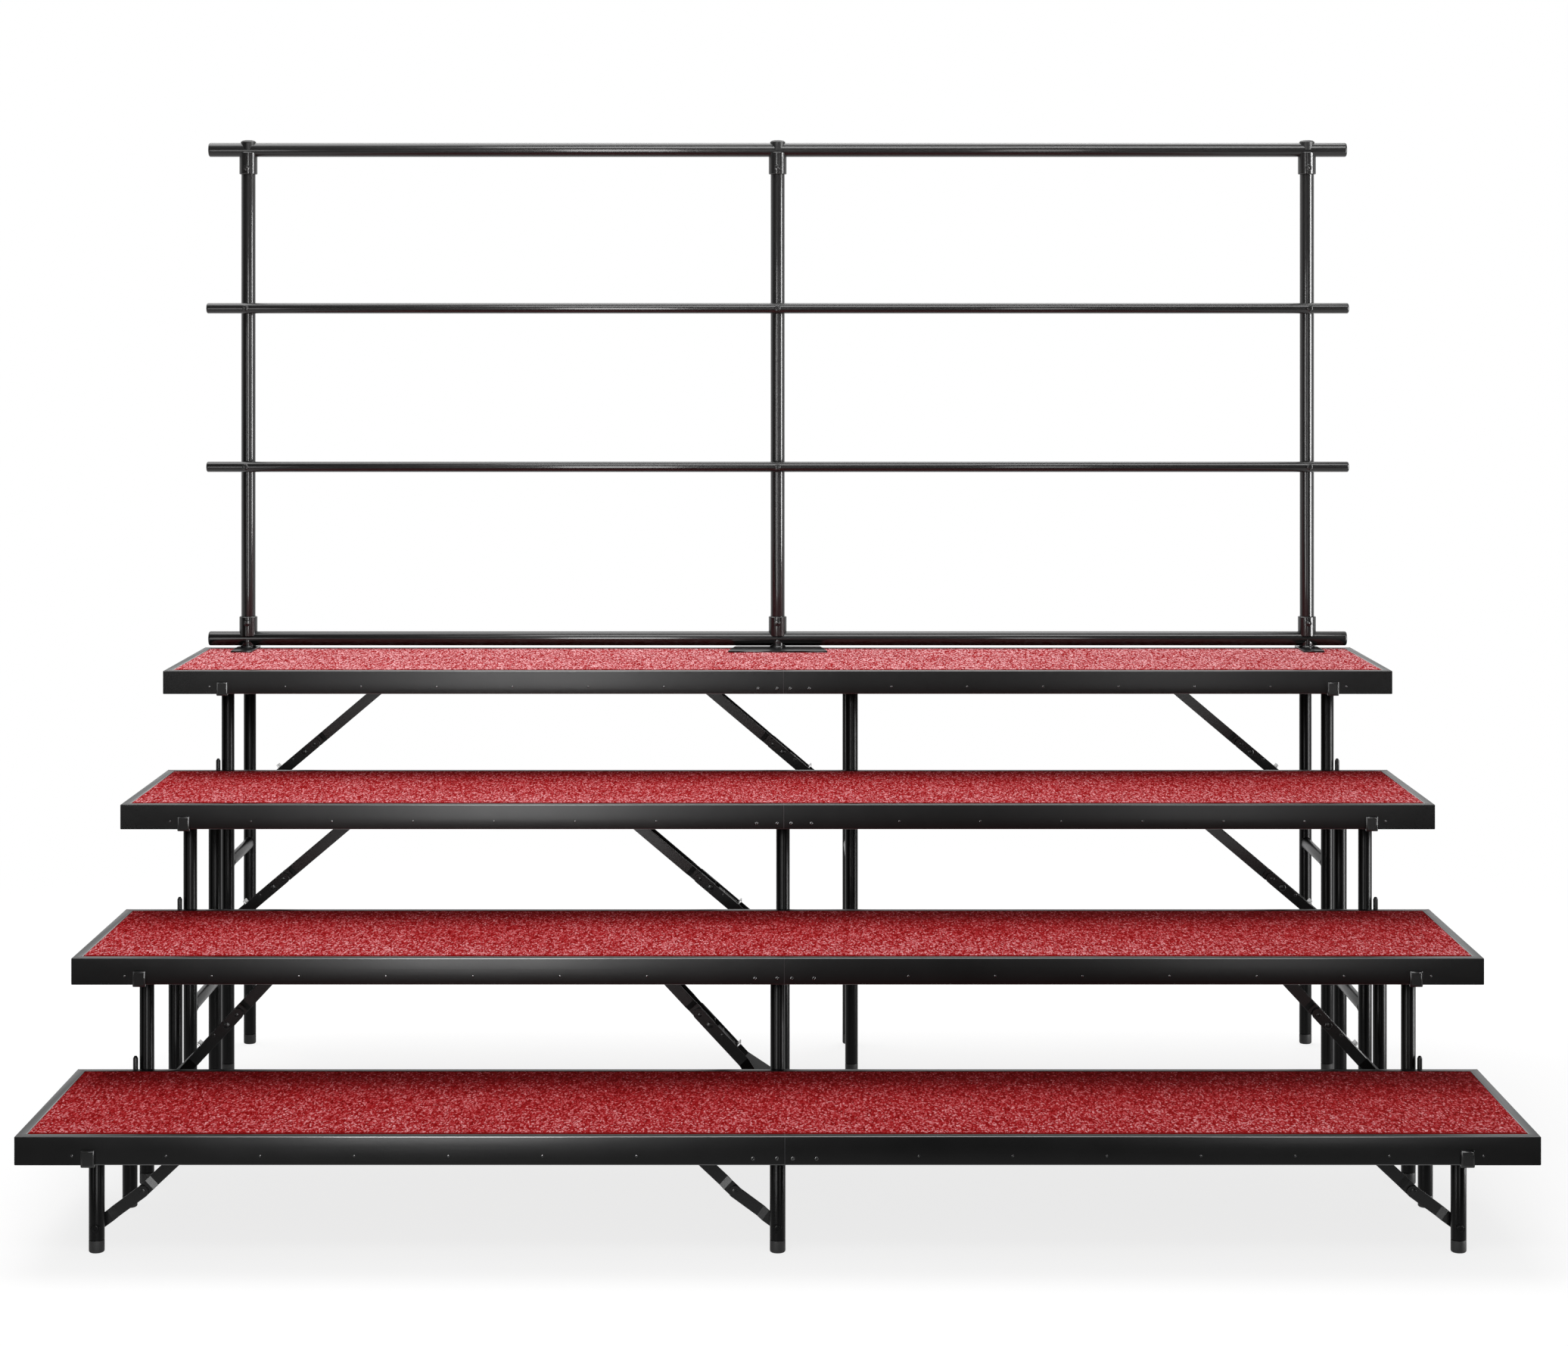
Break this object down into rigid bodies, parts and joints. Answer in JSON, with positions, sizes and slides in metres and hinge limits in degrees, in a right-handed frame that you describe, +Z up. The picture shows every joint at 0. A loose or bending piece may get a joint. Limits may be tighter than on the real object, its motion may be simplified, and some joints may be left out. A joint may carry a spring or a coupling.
{
  "type": "choir riser",
  "caption": "Stepped set of folding carpeted risers on tubular steel legs with hinged braces, with a guard rail behind the top step.",
  "frame": {"origin": "on the floor, in the middle of the set in X and Y", "axes": "+X along the decks to the right as seen by the audience, +Y to the back where the guard rail is, +Z up"},
  "size_m": [2.4384, 1.6848, 1.8908],
  "materials": {
    "black_steel": "semi-gloss powder coat",
    "carpet": "short speckled red pile",
    "zinc_steel": "zinc plated"
  },
  "bodies": {
    "riser_set": {"carpeted_deck_1": "carpet", "carpeted_deck_2": "carpet", "carpeted_deck_3": "carpet", "carpeted_deck_4": "carpet", "deck_frame_1": "black_steel", "deck_frame_2": "black_steel", "deck_frame_3": "black_steel", "deck_frame_4": "black_steel", "guard_bottom_rail": "black_steel", "guard_mid_rail_lower": "black_steel", "guard_mid_rail_upper": "black_steel", "guard_post_centre": "black_steel", "guard_post_left": "black_steel", "guard_post_right": "black_steel", "guard_top_rail": "black_steel"},
    "legs_1_left": {"leg_frame_1_left": "black_steel"},
    "upper_link_1_left": {"brace_upper_1_left": "black_steel"},
    "lower_link_1_left": {"brace_lower_1_left": "black_steel"},
    "legs_1_centre": {"leg_frame_1_centre": "black_steel"},
    "upper_link_1_centre": {"brace_upper_1_centre": "black_steel"},
    "lower_link_1_centre": {"brace_lower_1_centre": "black_steel"},
    "legs_1_right": {"leg_frame_1_right": "black_steel"},
    "upper_link_1_right": {"brace_upper_1_right": "black_steel"},
    "lower_link_1_right": {"brace_lower_1_right": "black_steel"},
    "legs_2_left": {"leg_frame_2_left": "black_steel"},
    "upper_link_2_left": {"brace_upper_2_left": "black_steel"},
    "lower_link_2_left": {"brace_lower_2_left": "black_steel"},
    "latch_2_left": {"brace_latch_2_left": "zinc_steel"},
    "legs_2_centre": {"leg_frame_2_centre": "black_steel"},
    "upper_link_2_centre": {"brace_upper_2_centre": "black_steel"},
    "lower_link_2_centre": {"brace_lower_2_centre": "black_steel"},
    "latch_2_centre": {"brace_latch_2_centre": "zinc_steel"},
    "legs_2_right": {"leg_frame_2_right": "black_steel"},
    "upper_link_2_right": {"brace_upper_2_right": "black_steel"},
    "lower_link_2_right": {"brace_lower_2_right": "black_steel"},
    "latch_2_right": {"brace_latch_2_right": "zinc_steel"},
    "legs_3_left": {"leg_frame_3_left": "black_steel"},
    "upper_link_3_left": {"brace_upper_3_left": "black_steel"},
    "lower_link_3_left": {"brace_lower_3_left": "black_steel"},
    "latch_3_left": {"brace_latch_3_left": "zinc_steel"},
    "legs_3_centre": {"leg_frame_3_centre": "black_steel"},
    "upper_link_3_centre": {"brace_upper_3_centre": "black_steel"},
    "lower_link_3_centre": {"brace_lower_3_centre": "black_steel"},
    "latch_3_centre": {"brace_latch_3_centre": "zinc_steel"},
    "legs_3_right": {"leg_frame_3_right": "black_steel"},
    "upper_link_3_right": {"brace_upper_3_right": "black_steel"},
    "lower_link_3_right": {"brace_lower_3_right": "black_steel"},
    "latch_3_right": {"brace_latch_3_right": "zinc_steel"},
    "legs_4_left": {"leg_frame_4_left": "black_steel"},
    "upper_link_4_left": {"brace_upper_4_left": "black_steel"},
    "lower_link_4_left": {"brace_lower_4_left": "black_steel"},
    "latch_4_left": {"brace_latch_4_left": "zinc_steel"},
    "legs_4_centre": {"leg_frame_4_centre": "black_steel"},
    "upper_link_4_centre": {"brace_upper_4_centre": "black_steel"},
    "lower_link_4_centre": {"brace_lower_4_centre": "black_steel"},
    "latch_4_centre": {"brace_latch_4_centre": "zinc_steel"},
    "legs_4_right": {"leg_frame_4_right": "black_steel"},
    "upper_link_4_right": {"brace_upper_4_right": "black_steel"},
    "lower_link_4_right": {"brace_lower_4_right": "black_steel"},
    "latch_4_right": {"brace_latch_4_right": "zinc_steel"}
  },
  "joints": [
    {"name": "legs_1_left_fold", "type": "hinge", "parent": "riser_set", "child": "legs_1_left", "pos_m": [-1.1016, -0.64135, 0.1668], "axis": [0, -1, 0], "range_deg": [0, 90]},
    {"name": "upper_link_1_left_turn", "type": "hinge", "parent": "riser_set", "child": "upper_link_1_left", "pos_m": [-0.9516, -0.64135, 0.1668], "axis": [0, 1, 0], "range_deg": [0, 43.12]},
    {"name": "lower_link_1_left_knee", "type": "hinge", "parent": "upper_link_1_left", "child": "lower_link_1_left", "pos_m": [-1.03201, -0.64135, 0.09155], "axis": [0, -1, 0], "range_deg": [0, 187.02]},
    {"name": "legs_1_centre_fold", "type": "hinge", "parent": "riser_set", "child": "legs_1_centre", "pos_m": [0, -0.64135, 0.1668], "axis": [0, 1, 0], "range_deg": [0, 90]},
    {"name": "upper_link_1_centre_turn", "type": "hinge", "parent": "riser_set", "child": "upper_link_1_centre", "pos_m": [-0.15, -0.64135, 0.1668], "axis": [0, -1, 0], "range_deg": [0, 43.12]},
    {"name": "lower_link_1_centre_knee", "type": "hinge", "parent": "upper_link_1_centre", "child": "lower_link_1_centre", "pos_m": [-0.06959, -0.64135, 0.09155], "axis": [0, 1, 0], "range_deg": [0, 187.02]},
    {"name": "legs_1_right_fold", "type": "hinge", "parent": "riser_set", "child": "legs_1_right", "pos_m": [1.1016, -0.64135, 0.1668], "axis": [0, 1, 0], "range_deg": [0, 90]},
    {"name": "upper_link_1_right_turn", "type": "hinge", "parent": "riser_set", "child": "upper_link_1_right", "pos_m": [0.9516, -0.64135, 0.1668], "axis": [0, -1, 0], "range_deg": [0, 43.12]},
    {"name": "lower_link_1_right_knee", "type": "hinge", "parent": "upper_link_1_right", "child": "lower_link_1_right", "pos_m": [1.03201, -0.64135, 0.09155], "axis": [0, 1, 0], "range_deg": [0, 187.02]},
    {"name": "legs_2_left_fold", "type": "hinge", "parent": "riser_set", "child": "legs_2_left", "pos_m": [-1.1016, -0.23495, 0.37], "axis": [0, -1, 0], "range_deg": [0, 90]},
    {"name": "upper_link_2_left_turn", "type": "hinge", "parent": "riser_set", "child": "upper_link_2_left", "pos_m": [-0.8706, -0.23495, 0.37], "axis": [0, 1, 0], "range_deg": [0, 47.05]},
    {"name": "lower_link_2_left_knee", "type": "hinge", "parent": "upper_link_2_left", "child": "lower_link_2_left", "pos_m": [-0.98031, -0.23495, 0.25222], "axis": [0, -1, 0], "range_deg": [0, 180.01]},
    {"name": "latch_2_left_lift", "type": "hinge", "parent": "lower_link_2_left", "child": "latch_2_left", "pos_m": [-1.00305, -0.23495, 0.23514], "axis": [0, 1, 0], "range_deg": [0, 10]},
    {"name": "legs_2_centre_fold", "type": "hinge", "parent": "riser_set", "child": "legs_2_centre", "pos_m": [0, -0.23495, 0.37], "axis": [0, 1, 0], "range_deg": [0, 90]},
    {"name": "upper_link_2_centre_turn", "type": "hinge", "parent": "riser_set", "child": "upper_link_2_centre", "pos_m": [-0.231, -0.23495, 0.37], "axis": [0, -1, 0], "range_deg": [0, 47.05]},
    {"name": "lower_link_2_centre_knee", "type": "hinge", "parent": "upper_link_2_centre", "child": "lower_link_2_centre", "pos_m": [-0.12129, -0.23495, 0.25222], "axis": [0, 1, 0], "range_deg": [0, 180.01]},
    {"name": "latch_2_centre_lift", "type": "hinge", "parent": "lower_link_2_centre", "child": "latch_2_centre", "pos_m": [-0.09855, -0.23495, 0.23514], "axis": [0, -1, 0], "range_deg": [0, 10]},
    {"name": "legs_2_right_fold", "type": "hinge", "parent": "riser_set", "child": "legs_2_right", "pos_m": [1.1016, -0.23495, 0.37], "axis": [0, 1, 0], "range_deg": [0, 90]},
    {"name": "upper_link_2_right_turn", "type": "hinge", "parent": "riser_set", "child": "upper_link_2_right", "pos_m": [0.8706, -0.23495, 0.37], "axis": [0, -1, 0], "range_deg": [0, 47.05]},
    {"name": "lower_link_2_right_knee", "type": "hinge", "parent": "upper_link_2_right", "child": "lower_link_2_right", "pos_m": [0.98031, -0.23495, 0.25222], "axis": [0, 1, 0], "range_deg": [0, 180.01]},
    {"name": "latch_2_right_lift", "type": "hinge", "parent": "lower_link_2_right", "child": "latch_2_right", "pos_m": [1.00305, -0.23495, 0.23514], "axis": [0, -1, 0], "range_deg": [0, 10]},
    {"name": "legs_3_left_fold", "type": "hinge", "parent": "riser_set", "child": "legs_3_left", "pos_m": [-1.1016, 0.17145, 0.5732], "axis": [0, -1, 0], "range_deg": [0, 90]},
    {"name": "upper_link_3_left_turn", "type": "hinge", "parent": "riser_set", "child": "upper_link_3_left", "pos_m": [-0.7876, 0.17145, 0.5732], "axis": [0, 1, 0], "range_deg": [0, 40.18]},
    {"name": "lower_link_3_left_knee", "type": "hinge", "parent": "upper_link_3_left", "child": "lower_link_3_left", "pos_m": [-0.96332, 0.17145, 0.4249], "axis": [0, -1, 0], "range_deg": [0, 180.01]},
    {"name": "latch_3_left_lift", "type": "hinge", "parent": "lower_link_3_left", "child": "latch_3_left", "pos_m": [-0.98795, 0.17145, 0.41066], "axis": [0, 1, 0], "range_deg": [0, 10]},
    {"name": "legs_3_centre_fold", "type": "hinge", "parent": "riser_set", "child": "legs_3_centre", "pos_m": [0.01, 0.17145, 0.5732], "axis": [0, 1, 0], "range_deg": [0, 87]},
    {"name": "upper_link_3_centre_turn", "type": "hinge", "parent": "riser_set", "child": "upper_link_3_centre", "pos_m": [-0.304, 0.17145, 0.5732], "axis": [0, -1, 0], "range_deg": [0, 39.62]},
    {"name": "lower_link_3_centre_knee", "type": "hinge", "parent": "upper_link_3_centre", "child": "lower_link_3_centre", "pos_m": [-0.12828, 0.17145, 0.4249], "axis": [0, 1, 0], "range_deg": [0, 175.77]},
    {"name": "latch_3_centre_lift", "type": "hinge", "parent": "lower_link_3_centre", "child": "latch_3_centre", "pos_m": [-0.10365, 0.17145, 0.41066], "axis": [0, -1, 0], "range_deg": [0, 10]},
    {"name": "legs_3_right_fold", "type": "hinge", "parent": "riser_set", "child": "legs_3_right", "pos_m": [1.1016, 0.17145, 0.5732], "axis": [0, 1, 0], "range_deg": [0, 90]},
    {"name": "upper_link_3_right_turn", "type": "hinge", "parent": "riser_set", "child": "upper_link_3_right", "pos_m": [0.7876, 0.17145, 0.5732], "axis": [0, -1, 0], "range_deg": [0, 40.18]},
    {"name": "lower_link_3_right_knee", "type": "hinge", "parent": "upper_link_3_right", "child": "lower_link_3_right", "pos_m": [0.96332, 0.17145, 0.4249], "axis": [0, 1, 0], "range_deg": [0, 180.01]},
    {"name": "latch_3_right_lift", "type": "hinge", "parent": "lower_link_3_right", "child": "latch_3_right", "pos_m": [0.98795, 0.17145, 0.41066], "axis": [0, -1, 0], "range_deg": [0, 10]},
    {"name": "legs_4_left_fold", "type": "hinge", "parent": "riser_set", "child": "legs_4_left", "pos_m": [-1.1016, 0.57785, 0.7764], "axis": [0, -1, 0], "range_deg": [0, 90]},
    {"name": "upper_link_4_left_turn", "type": "hinge", "parent": "riser_set", "child": "upper_link_4_left", "pos_m": [-0.7876, 0.57785, 0.7764], "axis": [0, 1, 0], "range_deg": [0, 40.18]},
    {"name": "lower_link_4_left_knee", "type": "hinge", "parent": "upper_link_4_left", "child": "lower_link_4_left", "pos_m": [-0.96332, 0.57785, 0.6281], "axis": [0, -1, 0], "range_deg": [0, 180.01]},
    {"name": "latch_4_left_lift", "type": "hinge", "parent": "lower_link_4_left", "child": "latch_4_left", "pos_m": [-0.98795, 0.57785, 0.61386], "axis": [0, 1, 0], "range_deg": [0, 10]},
    {"name": "legs_4_centre_fold", "type": "hinge", "parent": "riser_set", "child": "legs_4_centre", "pos_m": [0.148, 0.57785, 0.7764], "axis": [0, 1, 0], "range_deg": [0, 86.5]},
    {"name": "upper_link_4_centre_turn", "type": "hinge", "parent": "riser_set", "child": "upper_link_4_centre", "pos_m": [-0.166, 0.57785, 0.7764], "axis": [0, -1, 0], "range_deg": [0, 39.53]},
    {"name": "lower_link_4_centre_knee", "type": "hinge", "parent": "upper_link_4_centre", "child": "lower_link_4_centre", "pos_m": [0.00972, 0.57785, 0.6281], "axis": [0, 1, 0], "range_deg": [0, 175.06]},
    {"name": "latch_4_centre_lift", "type": "hinge", "parent": "lower_link_4_centre", "child": "latch_4_centre", "pos_m": [0.03435, 0.57785, 0.61386], "axis": [0, -1, 0], "range_deg": [0, 10]},
    {"name": "legs_4_right_fold", "type": "hinge", "parent": "riser_set", "child": "legs_4_right", "pos_m": [1.1016, 0.57785, 0.7764], "axis": [0, 1, 0], "range_deg": [0, 90]},
    {"name": "upper_link_4_right_turn", "type": "hinge", "parent": "riser_set", "child": "upper_link_4_right", "pos_m": [0.7876, 0.57785, 0.7764], "axis": [0, -1, 0], "range_deg": [0, 40.18]},
    {"name": "lower_link_4_right_knee", "type": "hinge", "parent": "upper_link_4_right", "child": "lower_link_4_right", "pos_m": [0.96332, 0.57785, 0.6281], "axis": [0, 1, 0], "range_deg": [0, 180.01]},
    {"name": "latch_4_right_lift", "type": "hinge", "parent": "lower_link_4_right", "child": "latch_4_right", "pos_m": [0.98795, 0.57785, 0.61386], "axis": [0, -1, 0], "range_deg": [0, 10]}
  ],
  "couplings": [
    {"joint": "upper_link_1_left_turn", "follows": "legs_1_left_fold", "ratio": 0.47891},
    {"joint": "lower_link_1_left_knee", "follows": "legs_1_left_fold", "ratio": 2.0778},
    {"joint": "upper_link_1_centre_turn", "follows": "legs_1_centre_fold", "ratio": 0.47891},
    {"joint": "lower_link_1_centre_knee", "follows": "legs_1_centre_fold", "ratio": 2.0778},
    {"joint": "upper_link_1_right_turn", "follows": "legs_1_right_fold", "ratio": 0.47891},
    {"joint": "lower_link_1_right_knee", "follows": "legs_1_right_fold", "ratio": 2.0778},
    {"joint": "upper_link_2_left_turn", "follows": "legs_2_left_fold", "ratio": 0.52258},
    {"joint": "lower_link_2_left_knee", "follows": "legs_2_left_fold", "ratio": 2},
    {"joint": "upper_link_2_centre_turn", "follows": "legs_2_centre_fold", "ratio": 0.52258},
    {"joint": "lower_link_2_centre_knee", "follows": "legs_2_centre_fold", "ratio": 2},
    {"joint": "upper_link_2_right_turn", "follows": "legs_2_right_fold", "ratio": 0.52258},
    {"joint": "lower_link_2_right_knee", "follows": "legs_2_right_fold", "ratio": 2},
    {"joint": "upper_link_3_left_turn", "follows": "legs_3_left_fold", "ratio": 0.44625},
    {"joint": "lower_link_3_left_knee", "follows": "legs_3_left_fold", "ratio": 2},
    {"joint": "upper_link_3_centre_turn", "follows": "legs_3_centre_fold", "ratio": 0.45522},
    {"joint": "lower_link_3_centre_knee", "follows": "legs_3_centre_fold", "ratio": 2.0202},
    {"joint": "upper_link_3_right_turn", "follows": "legs_3_right_fold", "ratio": 0.44625},
    {"joint": "lower_link_3_right_knee", "follows": "legs_3_right_fold", "ratio": 2},
    {"joint": "upper_link_4_left_turn", "follows": "legs_4_left_fold", "ratio": 0.44625},
    {"joint": "lower_link_4_left_knee", "follows": "legs_4_left_fold", "ratio": 2},
    {"joint": "upper_link_4_centre_turn", "follows": "legs_4_centre_fold", "ratio": 0.45678},
    {"joint": "lower_link_4_centre_knee", "follows": "legs_4_centre_fold", "ratio": 2.0237},
    {"joint": "upper_link_4_right_turn", "follows": "legs_4_right_fold", "ratio": 0.44625},
    {"joint": "lower_link_4_right_knee", "follows": "legs_4_right_fold", "ratio": 2}
  ]
}
